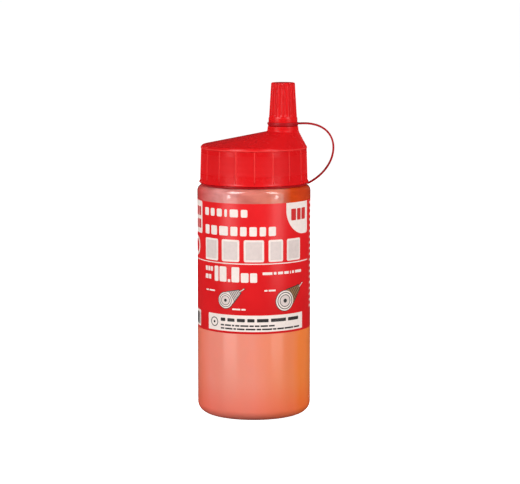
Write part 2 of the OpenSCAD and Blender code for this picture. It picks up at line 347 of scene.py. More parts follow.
# Natural polyethylene: milky and satin, coloured by the chalk behind it and by the dust that
# clings inside, which is thicker and more orange towards one side. It turns redder towards the
# foot. Above the chalk the band's colour also holds painted light: a painted highlight left of
# centre and painted shade towards both sides
bottle_wall, tree, shader = new_material("natural_polyethylene", 0.2)
across, up = place_across(tree)
clouds = noise_on(tree, 34, 4, (1, 1, 0.5))
cloud_share = 0.16
drift = maths(tree, "MULTIPLY_ADD", clouds, cloud_share, across)
wall_tint = colours_by(tree, drift, [
    (0.10, (0.95, 0.23, 0.142)), (0.20, (0.96, 0.29, 0.215)), (0.40, (0.93, 0.32, 0.23)),
    (0.58, (0.93, 0.31, 0.22)), (0.77, (0.95, 0.282, 0.150)), (0.94, (0.98, 0.272, 0.105)),
    (1.00, (0.98, 0.250, 0.055)),
])
# Above the chalk: the pale pink stop left of centre is a painted highlight, and the darker stops
# at both ends are painted shade; the orange towards the right is the dust's own tone
band_tone_with_painted_light = colours_by(tree, drift, [
    (0.10, (0.72, 0.085, 0.08)), (0.28, (0.83, 0.34, 0.32)), (0.55, (0.74, 0.22, 0.175)),
    (0.82, (0.77, 0.24, 0.16)), (0.92, (0.80, 0.085, 0.010)), (1.00, (0.68, 0.06, 0.010)),
])
above_chalk = step_between(tree, up, 0.118, 0.124)
foot_red = step_between(tree, up, 0.026, 0.0)
smears = colours_by(
    tree, noise_on(tree, 90, 5, (1, 1, 2.2)), [(0.35, (0.80, 0.72, 0.72)), (0.62, (1, 1, 1))]
)
# The smears are dust streaks; under them the band keeps its painted highlight and painted shade
dusty_band_with_painted_light = mixed(tree, band_tone_with_painted_light, smears, None, "MULTIPLY")
body_tint = mixed(tree, wall_tint, dusty_band_with_painted_light, above_chalk)
foot_tone = colours_by(tree, foot_red, [(0.0, (1, 1, 1)), (1.0, (0.97, 0.67, 0.64))])
tree.links.new(mixed(tree, body_tint, foot_tone, None, "MULTIPLY"), shader.inputs["Base Color"])
shader.inputs["Subsurface Weight"].default_value = 0.15
shader.inputs["Subsurface Radius"].default_value = (0.004, 0.002, 0.0012)
shader.inputs["Transmission Weight"].default_value = 0.12
satin = range_of(tree, noise_on(tree, 340, 2), 0.12, 0.22)
extra_polish = -0.09
tree.links.new(
    maths(tree, "MULTIPLY_ADD", above_chalk, extra_polish, satin), shader.inputs["Roughness"]
)
bump_from(tree, shader, noise_on(tree, 700, 3), 0.015)

bm = turned([
    (0, push_up), (push_up_in_r, push_up), (push_up_r, 0), (bottle_r, 0),
    (bottle_r, label_z0), (bottle_r - label_film, label_z0),
    (bottle_r - label_film, label_z1), (bottle_r, label_z1),
    (bottle_r, shoulder_z), (neck_r, shoulder_z), (neck_r, mouth_z), (neck_in_r, mouth_z),
    (neck_in_r, shoulder_z - wall - 1), (bottle_r - wall, shoulder_z - wall - 1.5),
    (bottle_r - wall - label_film, label_z1 - 2), (bottle_r - wall - label_film, 9),
    (bottle_r - wall, push_up + wall), (0, push_up + wall),
])
round_ring(bm, bottle_r, 0, foot_round, 10)
round_ring(bm, bottle_r, shoulder_z, shoulder_round, 8)
round_ring(bm, bottle_r - wall, push_up + wall, 4.5, 8)
round_ring(bm, bottle_r - wall, shoulder_z - wall - 1.5, 3, 6)
round_ring(bm, push_up_in_r, push_up, 1.2, 4)
round_ring(bm, push_up_r, 0, 0.8, 4)
round_ring(bm, neck_r, shoulder_z, 0.8, 4)
round_ring(bm, neck_r, mouth_z, 0.5, 4)
round_ring(bm, neck_in_r, mouth_z, 0.5, 4)
finish_piece("bottle_shell", bm, "bottle", bottle_wall, "bottle_wall", "bottle")

# Bottle neck thread: a single right-hand ridge moulded on the neck, run out at both ends.
# It is spun up the neck by its pitch each turn and shares the bottle's plastic.
thread_pitch = 3.5
thread_turns = 2.5
thread_depth = 1.4
thread_foot, thread_crest = 2.0, 0.6
thread_steps = 72
lead_in = math.radians(30)
neck_thread_z = shoulder_z + 0.36 * (mouth_z - shoulder_z)


def spun_thread(wall_r, depth, z):
    """A helical ridge on a wall of radius wall_r, standing out by depth, or in if negative."""
    sunk = math.copysign(0.25, depth)
    foot, crest = thread_foot / 2, thread_crest / 2
    ridge = [(-sunk, -foot), (depth, -crest), (depth, crest), (-sunk, foot)]
    steps = round(thread_turns * thread_steps)
    bm = bmesh.new()
    section = [bm.verts.new(((wall_r + r) * MM, 0, (z + h) * MM)) for r, h in ridge]
    loop = [bm.edges.new((a, b)) for a, b in zip(section, section[1:] + section[:1])]
    bmesh.ops.spin(
        bm, geom=section + loop, cent=(0, 0, 0), axis=(0, 0, 1),
        angle=2 * math.pi * thread_turns, steps=steps,
        dvec=(0, 0, thread_pitch / thread_steps * MM),
    )
    bmesh.ops.holes_fill(bm, edges=[e for e in bm.edges if e.is_boundary])
    for v in bm.verts:
        turn = 2 * math.pi * (v.co.z / MM - z) / thread_pitch
        from_end = min(turn, 2 * math.pi * thread_turns - turn)
        out = v.co.xy.length / MM - wall_r
        if out * depth > 0 and from_end < lead_in:
            share = 0.2 + 0.8 * max(0, from_end / lead_in)
            v.co.xy *= (wall_r + out * share) / (wall_r + out)
    bmesh.ops.recalc_face_normals(bm, faces=bm.faces)
    return bm


bm = spun_thread(neck_r, thread_depth, neck_thread_z)
finish_piece("neck_thread", bm, "bottle", bottle_wall, "bottle_wall")

# Bottle seams: where the two halves of the blow mould met, a fine raised line up the front and the
# back of the bare wall, and under the base the thicker scar where the parison was pinched off.
seam_w, seam_t = 0.35, 0.22
seam_r = bottle_r - 0.12
scar_w, scar_l, scar_t = 1.1, 34, 0.9
for side in (-1, 1):
    for z0, z1 in ((7, label_z0 - 0.3), (label_z1 + 0.3, shoulder_z - 3.6)):
        bm = bmesh.new()
        add_bar(bm, (seam_w, seam_t, z1 - z0), (0, side * seam_r, (z0 + z1) / 2), 0.08, 2)
        where = ("front" if side < 0 else "back") + ("_low" if z0 < label_z0 else "_high")
        finish_piece("parting_line_" + where, bm, "bottle", bottle_wall, "bottle_wall")
bm = bmesh.new()
add_bar(bm, (scar_w, scar_l, scar_t), (0, 0, push_up), 0.3, 3)
finish_piece("pinch_off_scar", bm, "bottle", bottle_wall, "bottle_wall")


# Chalk: about 300 g of fine dyed powder, poured in and settled. It fills the bottle to just under
# the label's upper edge, stands a little higher on one side, and small slumps break its top.
chalk_low, chalk_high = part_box("chalk_fill")
chalk_r = chalk_high.x / MM
chalk_z = chalk_high.z / MM

chalk_powder, tree, shader = new_material("chalk_powder", 0.95)
grains = noise_on(tree, 1500, 4)
chalk_tint = colours_by(tree, grains, [(0.3, (0.70, 0.05, 0.025)), (0.7, (0.85, 0.10, 0.05))])
tree.links.new(chalk_tint, shader.inputs["Base Color"])
shader.inputs["Specular IOR Level"].default_value = 0.15
bump_from(tree, shader, grains, 0.15, 1.0)

chalk_level = chalk_z - 1.2
chalk_rings = [(r, chalk_level) for r in (28, 24, 20, 16, 12, 8, 4)]
bm = turned([
    (0, 3.3), (20.6, 3.3), (chalk_r - 6, 1.6), (chalk_r - 0.4, 6.5), (chalk_r - 0.2, 9),
    (chalk_r - 0.2, chalk_z - 2), *chalk_rings, (0, chalk_level),
], 96)
for v in bm.verts:
    if v.co.z / MM > chalk_level - 0.3:
        x, y = v.co.x / MM, v.co.y / MM
        swell = 0.5 * math.sin(0.16 * x + 0.5) * math.cos(0.13 * y)
        slump = 0.25 * math.sin(0.5 * x) * math.sin(0.43 * y)
        v.co.z += MM * (swell + slump)
finish_piece("chalk_powder", bm, "bottle", chalk_powder, "chalk", "chalk_fill")


# Label: a printed film wrapped once round the bottle and glued where its end laps over its start,
# at the back. The film is red; the print on it is a thin layer of ink in plain blocks and lines,
# which stand in for all the lettering.
label_red, tree, shader = new_material("label_film", 0.3)
film_tint = colours_by(
    tree, noise_on(tree, 60, 2), [(0.3, (0.68, 0.009, 0.012)), (0.7, (0.73, 0.012, 0.015))]
)
tree.links.new(film_tint, shader.inputs["Base Color"])
shader.inputs["Specular IOR Level"].default_value = 0.3
bump_from(tree, shader, noise_on(tree, 120, 2, (1, 1, 0.25)), 0.03, 0.5)

film_in = bottle_r - label_film + 0.02
bm = turned([
    (film_in, label_z0), (bottle_r, label_z0), (bottle_r, label_z1), (film_in, label_z1),
    (film_in, label_z0),
])
round_ring(bm, bottle_r, label_z0, 0.05, 2)
round_ring(bm, bottle_r, label_z1, 0.05, 2)
finish_piece("label_film", bm, "bottle", label_red, "label_film", "label")


def ink(name, rgb):
    """Printing ink: a solid tone with the film's gloss over it and a slight mottle."""
    material, tree, shader = new_material(name, 0.35)
    darker = tuple(0.94 * c for c in rgb)
    mottle = colours_by(tree, noise_on(tree, 500, 2), [(0.35, darker), (0.65, rgb)])
    tree.links.new(mottle, shader.inputs["Base Color"])
    shader.inputs["Specular IOR Level"].default_value = 0.3
    return material


def block(bm, x, z, width, height, corner):
    """A flat block on the unrolled label: x and z are its lower left corner, in mm."""
    corners = [(x, z), (x + width, z), (x + width, z + height), (x, z + height)]
    points = [bm.verts.new((a * MM, 0, b * MM)) for a, b in corners]
    bm.faces.new(points)
    if corner:
        bevelled(bm, points, corner, 4, "VERTICES")


def block_row(bm, x, z, height, widths, gap, corner):
    """A row of blocks that starts at x."""
    for width in widths:
        block(bm, x, z, width, height, corner)
        x += width + gap


def disc(bm, x, z, radius, hole=0):
    """A flat disc, or a flat ring where it has a hole, on the unrolled label."""
    face_up = Matrix.Translation(Vector((x, 0, z)) * MM) @ Matrix.Rotation(math.pi / 2, 4, "X")
    made = bmesh.ops.create_circle(
        bm, cap_ends=True, segments=40, radius=radius * MM, matrix=face_up
    )
    if hole:
        face = made["verts"][0].link_faces[0]
        bmesh.ops.inset_region(
            bm, faces=[face], use_boundary=True, thickness=(radius - hole) * MM
        )
        bmesh.ops.delete(bm, geom=[face], context="FACES")


ink_thickness = 0.03
ink_gap = 0.012
strip_w = 2  # width of the strips that let a flat shape bend


def print_on_label(name, bm, material, layer):
    """Cuts the flat shapes into strips, wraps them on the film and gives the ink its thickness."""
    for k in range(-50, 51):
        bmesh.ops.bisect_plane(
            bm, geom=bm.verts[:] + bm.edges[:] + bm.faces[:], dist=1e-7,
            plane_co=(k * strip_w * MM, 0, 0), plane_no=(1, 0, 0),
        )
    bmesh.ops.recalc_face_normals(bm, faces=bm.faces)
    for face in bm.faces:
        if face.normal.y > 0:
            face.normal_flip()
    lift = bottle_r + ink_gap + layer * (ink_thickness + ink_gap)
    made = bmesh.ops.extrude_face_region(bm, geom=bm.faces[:])
    for v in bm.verts:
        v.co.y = lift * MM
    for v in made["geom"]:
        if isinstance(v, bmesh.types.BMVert):
            v.co.y = (lift + ink_thickness) * MM
    for v in bm.verts:
        turn = v.co.x / (bottle_r * MM)
        v.co.x, v.co.y = v.co.y * math.sin(turn), -v.co.y * math.cos(turn)
    bmesh.ops.recalc_face_normals(bm, faces=bm.faces)
    return finish_piece(name, bm, "bottle", material, "label_film")


white_ink = ink("white_ink", (0.88, 0.77, 0.72))
grey_ink = ink("grey_ink", (0.72, 0.61, 0.58))
dark_ink = ink("dark_ink", (0.035, 0.03, 0.03))
red_ink = ink("red_ink", (0.62, 0.03, 0.03))
tan_ink = ink("tan_ink", (0.36, 0.19, 0.09))

# White print on the front: a heading, a second line, five large blocks over a rule that runs
# round the bottle, a line of smaller blocks, a panel for notes, and a badge at the top right.
large_widths = (10.4, 10.8, 11.4, 8.8, 10.4)
large_x, large_z, large_height = -32.0, 91.3, 12.4
large_gap = 2.6
note_panel = (-29.3, 51.7, 61.8, 9.3)

bm = bmesh.new()
block_row(bm, -32.6, 116.4, 4.4, (3.7, 3.1, 3.6, 1.7, 5.0, 3.7), 1.65, 0.8)
block_row(bm, -32.2, 105.9, 5.2, (3.8, 4.5, 5.8, 4.2, 3.7, 4.2, 3.6, 4.3), 1.55, 0.7)
block_row(bm, large_x, large_z, large_height, large_widths, large_gap, 0.9)
block(bm, -52, 89.9, 91, 0.55, 0)
block_row(bm, -32.1, 85.0, 2.6, (2.0, 1.6, 1.9), 0.5, 0.3)
block_row(bm, -32.1, 80.4, 2.6, (2.6, 1.9), 0.5, 0.3)
block_row(bm, -24.2, 79.7, 8.6, (2.8, 4.6), 0.8, 0.7)
block(bm, -15.1, 79.7, 1.5, 1.6, 0.3)
block(bm, -12.8, 79.7, 4.6, 8.6, 0.7)
block_row(bm, -7.3, 79.7, 5.4, (4.4, 4.0), 0.8, 0.7)
block_row(bm, 5.0, 84.0, 1.5, (5.6, 1.6, 3.2, 3.0, 0.7, 1.4, 5.4), 0.9, 0.2)
block_row(bm, -31.4, 73.6, 0.9, (2.2, 4.6), 0.6, 0.2)
block_row(bm, -12.4, 63.9, 0.9, (4.8, 2.4), 0.6, 0.2)
block_row(bm, 6.0, 74.6, 0.9, (1.8, 4.2), 0.6, 0.2)
block(bm, *note_panel, 0.25)
print_on_label("front_print_white", bm, white_ink, 0)

# Badge: bleeds off the label's upper edge; its lower left corner is one large curve.
bm = bmesh.new()
badge = [(19.4, 124.0), (19.4, 105.8), (38.4, 105.8), (38.4, 124.0)]
points = [bm.verts.new((x * MM, 0, z * MM)) for x, z in badge]
bm.faces.new(points)
bevelled(bm, [points[1]], 14, 16, "VERTICES")
lower_right = [v for v in bm.verts if v.co.x > 38 * MM and v.co.z < 110 * MM]
bevelled(bm, lower_right, 2, 6, "VERTICES")
print_on_label("front_badge", bm, white_ink, 0)
bm = bmesh.new()
block_row(bm, 22.8, 113.9, 6.6, (3.8, 3.2, 3.9), 0.9, 0.5)
print_on_label("front_badge_marks", bm, red_ink, 1)

# Grey fill inside the large blocks, which leaves them a white outline.
bm = bmesh.new()
rim = 1.1
block_row(
    bm, large_x + rim, large_z + rim, large_height - 2 * rim,
    [width - 2 * rim for width in large_widths], large_gap + 2 * rim, 0.3,
)
print_on_label("front_print_grey", bm, grey_ink, 1)

# Dark marks in the note panel: a plain ring, a bold line and two fine lines of dashes.
bm = bmesh.new()
disc(bm, -24.4, 56.4, 2.7, 2.2)
disc(bm, -24.4, 56.4, 0.7)
block_row(bm, -19.8, 57.2, 1.9, (3.0, 4.4, 4.6, 4.0, 6.6, 9.4, 8.0), 1.4, 0.3)
note_lines = (
    (54.6, (2.2, 3.8, 1.4, 2.4, 4.6, 2.4, 2.6, 4.2, 3.4), 0.6),
    (52.7, (2.4, 4.6, 1.6, 4.4, 5.6, 2.6, 5.8, 2.0, 4.2, 6.2, 4.4), 0.55),
)
for z, widths, gap in note_lines:
    block_row(bm, -19.8, z, 0.9, widths, gap, 0.15)
print_on_label("front_note_marks", bm, dark_ink, 1)


def reel_drawing(name, x, z, size, turn, nose_ink):
    """A plain line reel: a round case with a hub, a long nose, and the line that leaves it."""
    outline, case, tones, nose, details = (bmesh.new() for _ in range(5))
    edge = 0.4
    for bm, grow in ((outline, edge), (case, 0)):
        disc(bm, 0, 0, size + grow)
        block(bm, -0.2 - grow / 2, 2.2 * size, 0.4 + grow, 0.75 * size + grow, 0)
    for bm, grow in ((outline, edge), (nose, 0)):
        sides = [(-0.84, 0.62), (0.84, 0.62), (0.2, 2.25), (-0.2, 2.25)]
        points = [
            bm.verts.new(((a * size + math.copysign(grow, a)) * MM, 0, (b * size + grow) * MM))
            for a, b in sides
        ]
        bm.faces.new(points)
    disc(tones, 0, 0, size * 0.62)
    disc(details, 0, 0, size * 0.86, size * 0.78)
    disc(details, 0, 0, size * 0.62, size * 0.55)
    disc(details, 0, 0, size * 0.2)
    for k, half in enumerate((0.66, 0.56, 0.46, 0.37, 0.27, 0.2)):
        block(details, -half * size, (1.02 + 0.22 * k) * size, 2 * half * size, 0.07 * size, 0)
    place = Matrix.Translation(Vector((x, 0, z)) * MM) @ Matrix.Rotation(turn, 4, "Y")
    layers = (
        (outline, dark_ink), (nose, nose_ink), (case, white_ink), (tones, grey_ink),
        (details, dark_ink),
    )
    for layer, (bm, tone) in enumerate(layers):
        bmesh.ops.transform(bm, matrix=place, verts=bm.verts)
        print_on_label(f"reel_drawing_{name}_{layer + 1}", bm, tone, layer)


reel_drawing("left", -16.6, 69.2, 4.5, 1.02, grey_ink)
reel_drawing("right", 18.6, 68.8, 5.7, 1.0, tan_ink)

# Sides and back of the label: a plain white tab and ring at the left edge of the front, then two
# columns of dashes for directions and a block of upright bars, all generic.
bm = bmesh.new()
block(bm, -46.8, 105.4, 10.7, 18.4, 1.2)
disc(bm, -45.0, 97.8, 5.6, 3.9)
block(bm, -51.0, 51.7, 12.2, 9.3, 0.25)
for line in range(19):
    block_row(bm, 43.0, 121.5 - 3.3 * line, 1.4, (2.6, 1.6, 3.2)[line % 3:] + (2.2,), 0.7, 0.2)
block(bm, 58, 58, 35, 58, 0.8)
block(bm, -94, 66, 34, 50, 0.8)
block(bm, 60, 52.4, 26, 4.2, 0.3)
print_on_label("back_panels", bm, white_ink, 0)
bm = bmesh.new()
block_row(bm, -45.2, 108.2, 5.2, (3.0, 3.4), 0.9, 0.5)
block_row(bm, -45.2, 115.4, 5.2, (3.4, 3.0), 0.9, 0.5)
print_on_label("side_tab_marks", bm, red_ink, 1)
bm = bmesh.new()
block_row(bm, -49.8, 53.0, 6.6, (0.5, 1.2, 0.5, 0.8, 0.5, 1.4, 0.5, 0.6), 0.55, 0)
dash_lengths = (5.2, 3.4, 6.1, 2.8, 4.6, 3.9, 5.5)
for line in range(16):
    widths = [dash_lengths[(line * 3 + k) % 7] for k in range(6)]
    block_row(bm, 59, 111.5 - 3.3 * line, 1.3, widths, 1.0, 0.2)
for line in range(9):
    widths = [dash_lengths[(line * 2 + k) % 7] for k in range(5)]
    block_row(bm, -91, 111.5 - 3.3 * line, 1.3, widths, 1.0, 0.2)
bar_widths = (0.5, 0.9, 0.5, 1.3, 0.5, 0.5, 0.9)
block_row(bm, -88, 69, 9, [bar_widths[k % 7] for k in range(20)], 0.6, 0)
print_on_label("back_marks", bm, dark_ink, 1)
bm = bmesh.new()
block(bm, 96.5, label_z0 + 0.15, 3.0, label_z1 - label_z0 - 0.3, 0)
print_on_label("label_lap", bm, label_red, 0)


# Closure: one injection moulding in red polypropylene. A skirt with a lip and 18 shallow grip
# ribs, a slanting top that draws up to an off-centre collar, and the pouring nozzle on it. Inside
# are the groove for the tether's ring, the thread, the ledge for the sealing ring and the funnel
# to the bore.
closure_low, closure_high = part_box("closure")
skirt_z = closure_low.z / MM
tip_z = closure_high.z / MM
nozzle_x = 16.6
skirt_top_z = 153.3
top_edge_z, top_edge_r = 154.7, 29.6
collar_z, collar_r, collar_h = 162.3, 8.65, 3.1
nozzle_foot_r, nozzle_tip_r = 6.6, 4.2
bore_r, bore_h = 3.0, 8.5
skirt_in_r = 29.2
lip_r, lip_h = 31.3, 0.6
groove_h, groove_in = 2.3, 0.65
seal_z = 152.3
dome_r, dome_z = 26.0, 152.5
funnel_r = 6.2
panel_foot_r, panel_top_r = 30.75, 30.2
band_low, band_high = skirt_z + 1.5, skirt_top_z - 0.65
rib_out, rib_taper = 0.25, 0.5
skirt_strips = 216
strips_per_rib = 12


def red_plastic(name, rgb, roughness, gloss=0.2, stretch=(1, 1, 1)):
    """Moulded polyolefin: a strong dye, faint flow marks and the fine grain of the mould."""
    material, tree, shader = new_material(name, roughness)
    darker = tuple(0.94 * c for c in rgb)
    flow = colours_by(tree, noise_on(tree, 45, 3, stretch), [(0.3, darker), (0.7, rgb)])
    tree.links.new(flow, shader.inputs["Base Color"])
    shader.inputs["Specular IOR Level"].default_value = gloss
    shader.inputs["Subsurface Weight"].default_value = 0.12
    shader.inputs["Subsurface Radius"].default_value = (0.002, 0.0005, 0.0004)
    polish = range_of(tree, noise_on(tree, 220, 2), roughness - 0.05, roughness + 0.07)
    tree.links.new(polish, shader.inputs["Roughness"])
    bump_from(tree, shader, noise_on(tree, 900, 2), 0.006, 0.5)
    return material, tree, shader


closure_red, tree, shader = red_plastic("closure_polypropylene", (0.66, 0.008, 0.010), 0.25, 0.12)

# Faint sink marks run round the skirt where the thread thickens its wall: one wave to each pitch,
# turned once round with the helix
where, x, y, z = object_place(tree)
sinks = tree.nodes.new("ShaderNodeTexWave")
sinks.bands_direction = "Z"
sinks.inputs["Scale"].default_value = 2 * math.pi / (20 * thread_pitch * MM)
tree.links.new(where, sinks.inputs["Vector"])
tree.links.new(maths(tree, "ARCTAN2", y, x), sinks.inputs["Phase Offset"])
low_end = step_between(tree, z, 0.1385, 0.1400)
high_end = step_between(tree, z, 0.1505, 0.1490)
in_grip = maths(tree, "MULTIPLY", low_end, high_end)
sink_bump = tree.nodes.new("ShaderNodeBump")
sink_bump.inputs["Strength"].default_value = 0.8
sink_bump.inputs["Distance"].default_value = 0.06 * MM
tree.links.new(
    maths(tree, "MULTIPLY", sinks.outputs["Fac"], in_grip), sink_bump.inputs["Height"]
)
grain_bump = shader.inputs["Normal"].links[0].from_node
tree.links.new(sink_bump.outputs["Normal"], grain_bump.inputs["Normal"])

# The grip band is spark-eroded in the mould, so it is duller than the plain parts
plain_roughness = shader.inputs["Roughness"].links[0].from_socket
extra_roughness = 0.2
tree.links.new(
    maths(tree, "MULTIPLY_ADD", in_grip, extra_roughness, plain_roughness),
    shader.inputs["Roughness"],
)

# The crests of the ribs and of the ledge over them are painted paler, a painted highlight for the
# glints they catch. They are what stands out of the band's cone, whose radius falls by panel_slope
# of the height
panel_slope = 0.0307
level = tree.nodes.new("ShaderNodeVectorMath")
level.operation = "MULTIPLY"
level.inputs[1].default_value = (1, 1, 0)
tree.links.new(where, level.inputs[0])
radius = tree.nodes.new("ShaderNodeVectorMath")
radius.operation = "LENGTH"
tree.links.new(level.outputs["Vector"], radius.inputs[0])
off_cone = maths(tree, "MULTIPLY_ADD", z, panel_slope, radius.outputs["Value"])
crest = step_between(tree, off_cone, 0.03494, 0.03506)
above_lip = step_between(tree, z, 0.1352, 0.1362)
# Painted highlight: the paler red stands in for the glints along the crests
pale = tree.nodes.new("ShaderNodeRGB")
pale.outputs["Color"].default_value = (0.76, 0.036, 0.034, 1)
dyed = shader.inputs["Base Color"].links[0].from_socket
painted_crest_glint = maths(tree, "MULTIPLY", crest, above_lip)
tree.links.new(mixed(tree, dyed, pale.outputs["Color"], painted_crest_glint), shader.inputs["Base Color"])


def circle_at(bm, radius, height, centre=0.0, segments=skirt_strips):
    """The first loop of a drawn-up shell."""
    place = Matrix.Translation(Vector((centre, 0, height)) * MM)
    made = bmesh.ops.create_circle(bm, segments=segments, radius=radius * MM, matrix=place)
    return edges_of(made["verts"])


def draw_up(bm, loop, radius, height, centre=0.0):
    """Extrudes a loop of edges and takes it to a new radius, height and centre."""
    made = bmesh.ops.extrude_edge_only(bm, edges=loop)["geom"]
    verts = [v for v in made if isinstance(v, bmesh.types.BMVert)]
    kept = set(verts)
    middle = sum((v.co for v in verts), Vector()) / len(verts)
    grow = radius * MM / (verts[0].co - middle).length
    bmesh.ops.translate(bm, verts=verts, vec=-middle)
    bmesh.ops.scale(bm, verts=verts, vec=(grow, grow, 1))
    bmesh.ops.translate(bm, verts=verts, vec=Vector((centre, 0, height)) * MM)
    return [e for e in made if isinstance(e, bmesh.types.BMEdge) and kept.issuperset(e.verts)]


def soften(bm, loops):
    """Rounds each (edges, width in mm, segments)."""
    for edges, width, segments in loops:
        bevelled(bm, edges, width, segments)


bm = bmesh.new()
start = circle_at(bm, skirt_in_r + groove_in, skirt_z)
lip = draw_up(bm, start, lip_r, skirt_z)
lip_top = draw_up(bm, lip, lip_r, skirt_z + lip_h)
band_foot = draw_up(bm, lip_top, panel_foot_r, band_low)
band_top = draw_up(bm, band_foot, panel_top_r, band_high)
ledge = draw_up(bm, band_top, panel_top_r + rib_out, skirt_top_z - 0.35)
edge = draw_up(bm, ledge, panel_top_r + rib_out, skirt_top_z)
top_edge = draw_up(bm, edge, top_edge_r, top_edge_z)
collar_foot = draw_up(bm, top_edge, collar_r + 0.35, collar_z - 0.05, nozzle_x)
collar = draw_up(bm, collar_foot, collar_r, collar_z + collar_h, nozzle_x)
nozzle_foot = draw_up(bm, collar, nozzle_foot_r, collar_z + collar_h, nozzle_x)
tip = draw_up(bm, nozzle_foot, nozzle_tip_r, tip_z, nozzle_x)
mouth = draw_up(bm, tip, bore_r, tip_z, nozzle_x)
bore_end = draw_up(bm, mouth, bore_r, tip_z - bore_h, nozzle_x)
funnel = draw_up(bm, bore_end, funnel_r, collar_z - 1.9, nozzle_x)
dome = draw_up(bm, funnel, dome_r, dome_z)
seal_ledge = draw_up(bm, dome, skirt_in_r, seal_z)
groove_top = draw_up(bm, seal_ledge, skirt_in_r, skirt_z + groove_h)
groove = draw_up(bm, groove_top, skirt_in_r + groove_in, skirt_z + groove_h)
bmesh.ops.bridge_loops(bm, edges=start + groove)
bmesh.ops.recalc_face_normals(bm, faces=bm.faces)

# The grip ribs stand out of every twelfth strip of the band, with one rib at the front, and their
# sides slope in to half their width
strip_angle = 2 * math.pi / skirt_strips
ribs = []
for face in bm.faces:
    centre = face.calc_center_median() / MM
    if band_low < centre.z < band_high and centre.xy.length > panel_top_r - 1:
        place = round(math.atan2(centre.y, centre.x) / strip_angle - 0.5)
        if place % strips_per_rib == strips_per_rib // 2:
            ribs.append(face)
made = bmesh.ops.extrude_discrete_faces(bm, faces=ribs)["faces"]
for face in made:
    middle = face.calc_center_median()
    outward = Vector((face.normal.x, face.normal.y, 0)).normalized()
    sideways = outward.cross(Vector((0, 0, 1)))
    for v in face.verts:
        v.co += outward * rib_out * MM - sideways * rib_taper * (v.co - middle).dot(sideways)
rib_edges = [e for face in made for e in face.edges]
soften(bm, [
    (rib_edges, 0.1, 3), (edge, 0.3, 3), (top_edge, 0.7, 5), (collar_foot, 0.9, 5),
    (collar, 0.4, 3), (tip, 0.5, 4), (nozzle_foot, 0.5, 3), (mouth, 0.3, 3), (lip, 0.2, 2),
    (lip_top, 0.2, 2), (ledge, 0.12, 2),
])
finish_piece("closure_shell", bm, "closure", closure_red, "closure_red", "closure")
bm = spun_thread(skirt_in_r, -thread_depth, neck_thread_z + thread_pitch / 2)
finish_piece("closure_thread", bm, "closure", closure_red, "closure_red")


# Sealing ring: punched from white foamed polyethylene sheet and held up in the closure, where it
# presses on the bottle's mouth. It shows only from below.
gasket_foam, tree, shader = new_material("foamed_polyethylene", 0.7)
cells = noise_on(tree, 1800, 3)
tree.links.new(
    colours_by(tree, cells, [(0.35, (0.78, 0.77, 0.74)), (0.65, (0.90, 0.89, 0.87))]),
    shader.inputs["Base Color"],
)
bump_from(tree, shader, cells, 0.08, 0.8)

gasket_low, gasket_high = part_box("neck_gasket")
gasket_z0, gasket_z1 = gasket_low.z / MM, gasket_high.z / MM
gasket_r = gasket_high.x / MM
bm = turned([
    (neck_in_r, gasket_z0), (gasket_r, gasket_z0), (gasket_r, gasket_z1), (neck_in_r, gasket_z1),
    (neck_in_r, gasket_z0),
])
for r in (neck_in_r, gasket_r):
    for z in (gasket_z0, gasket_z1):
        round_ring(bm, r, z, 0.2, 3)
finish_piece("sealing_ring", bm, "seal", gasket_foam, "gasket_foam", "neck_gasket")


# Nozzle cap: a hollow push-on cap in the closure's red, with a plain band at its foot and sixteen
# grip flutes that are milled in the mould, so each ends in a round hollow. A land inside grips
# the nozzle's tip, and a spigot below the band carries the tether's small ring.
cap_low, cap_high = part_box("nozzle_cap")
cap_z, cap_top_z = cap_low.z / MM, cap_high.z / MM
band_z, grip_z = 167.35, 169.95
cap_in_z = cap_top_z - 1.6
spigot_r, cap_band_r = 7.58, 8.25
cap_bore_r = nozzle_foot_r + 0.08
grip_foot_r, grip_draft = 7.95, 1.2
grip_foot_z = grip_z + 0.35
flute_count = 16
flute_half = 1.05
flute_share = 0.38
flute_depth = 0.5
flute_end_z = grip_z + 1.9

cap_red, *_ = red_plastic("cap_polypropylene", (0.68, 0.009, 0.011), 0.22, stretch=(1, 1, 0.4))

bm = bmesh.new()
start = circle_at(bm, cap_bore_r, cap_z, nozzle_x, 192)
spigot = draw_up(bm, start, spigot_r, cap_z, nozzle_x)
band_under = draw_up(bm, spigot, spigot_r, band_z, nozzle_x)
band_foot = draw_up(bm, band_under, cap_band_r, band_z, nozzle_x)
band_top = draw_up(bm, band_foot, cap_band_r, grip_z, nozzle_x)
loop = draw_up(bm, band_top, grip_foot_r, grip_foot_z, nozzle_x)
grip_steps = 44
for k in range(1, grip_steps + 1):
    share = k / grip_steps
    height = grip_foot_z + (cap_top_z - grip_foot_z) * share
    loop = draw_up(bm, loop, grip_foot_r - grip_draft * share, height, nozzle_x)
top_edge = loop
for radius in (5.2, 3.6, 2.0, 0.6):
    loop = draw_up(bm, loop, radius, cap_top_z, nozzle_x)
bmesh.ops.holes_fill(bm, edges=loop)
inside = draw_up(bm, start, cap_bore_r, band_z, nozzle_x)
for radius, height in ((7.0, 168.6), (5.6, 181.0), (4.7, 182.4), (4.3, tip_z), (3.5, cap_in_z)):
    inside = draw_up(bm, inside, radius, height, nozzle_x)
bmesh.ops.holes_fill(bm, edges=inside)
bmesh.ops.recalc_face_normals(bm, faces=bm.faces)
soften(bm, [(top_edge, 0.75, 5), (band_top, 0.25, 3), (band_foot, 0.15, 2), (spigot, 0.2, 2)])
flute_step = 2 * math.pi / flute_count
